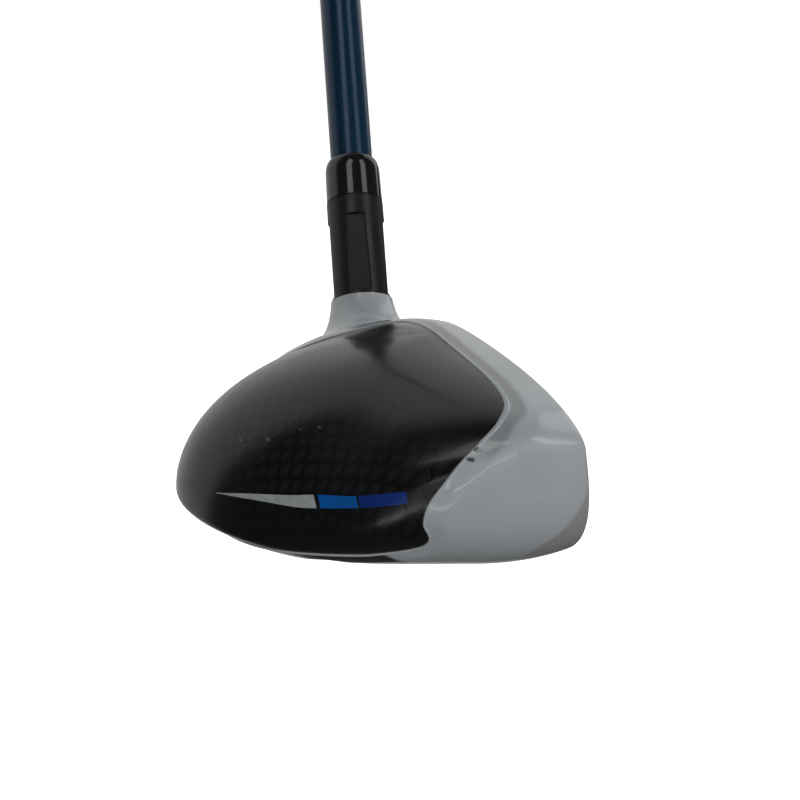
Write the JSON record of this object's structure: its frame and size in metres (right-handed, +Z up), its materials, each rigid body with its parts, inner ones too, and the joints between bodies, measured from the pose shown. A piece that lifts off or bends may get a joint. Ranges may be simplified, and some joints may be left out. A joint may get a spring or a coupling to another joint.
{
  "type": "hybrid golf club",
  "caption": "Right-handed hybrid golf club: hollow steel head with a welded crown and face, adjustable loft sleeve held by a captive sole screw, tapered graphite shaft and rubber grip.",
  "frame": {"origin": "middle of the flat land of the sole, on the ground with the club at address", "axes": "+Z up from the ground, +Y from the face to the rear of the head, -X to the toe and +X to the heel, where the shaft leans at 58.5 degrees"},
  "size_m": [0.6142, 0.0649, 0.8778],
  "materials": {
    "body_paint": "gloss",
    "crown_black": "satin",
    "bare_steel": "brushed",
    "sleeve_anodised": "satin",
    "ferrule_black": "gloss",
    "shaft_navy": "gloss",
    "grip_rubber": "matte",
    "black_polymer": "matte",
    "brass": "satin",
    "hot_melt": "satin",
    "paper_tape": "matte"
  },
  "bodies": {
    "club": {"shaft": "shaft_navy", "grip": "grip_rubber", "grip_tape": "paper_tape", "grip_cap": "grip_rubber", "ferrule": "ferrule_black", "loft_sleeve": "sleeve_anodised", "sleeve_thread_insert": "brass", "tip_plug": "brass"},
    "head": {"head_body": "body_paint", "crown_shell": "crown_black", "face_insert": "bare_steel", "slot_insert": "black_polymer", "sole_inlay": "black_polymer", "acoustic_pad": "hot_melt", "hosel_insert": "bare_steel", "screw_washer": "bare_steel"},
    "screw": {"hosel_screw": "bare_steel", "screw_retainer": "black_polymer"}
  },
  "joints": [
    {"name": "head_slide", "type": "slide", "parent": "club", "child": "head", "axis": [-0.5225, 0, -0.8526], "range_m": [0, 0.045]},
    {"name": "screw_turn", "type": "hinge", "parent": "head", "child": "screw", "pos_m": [0.0288, -0.0045, 0], "axis": [0.5225, 0, 0.8526], "continuous": true}
  ]
}
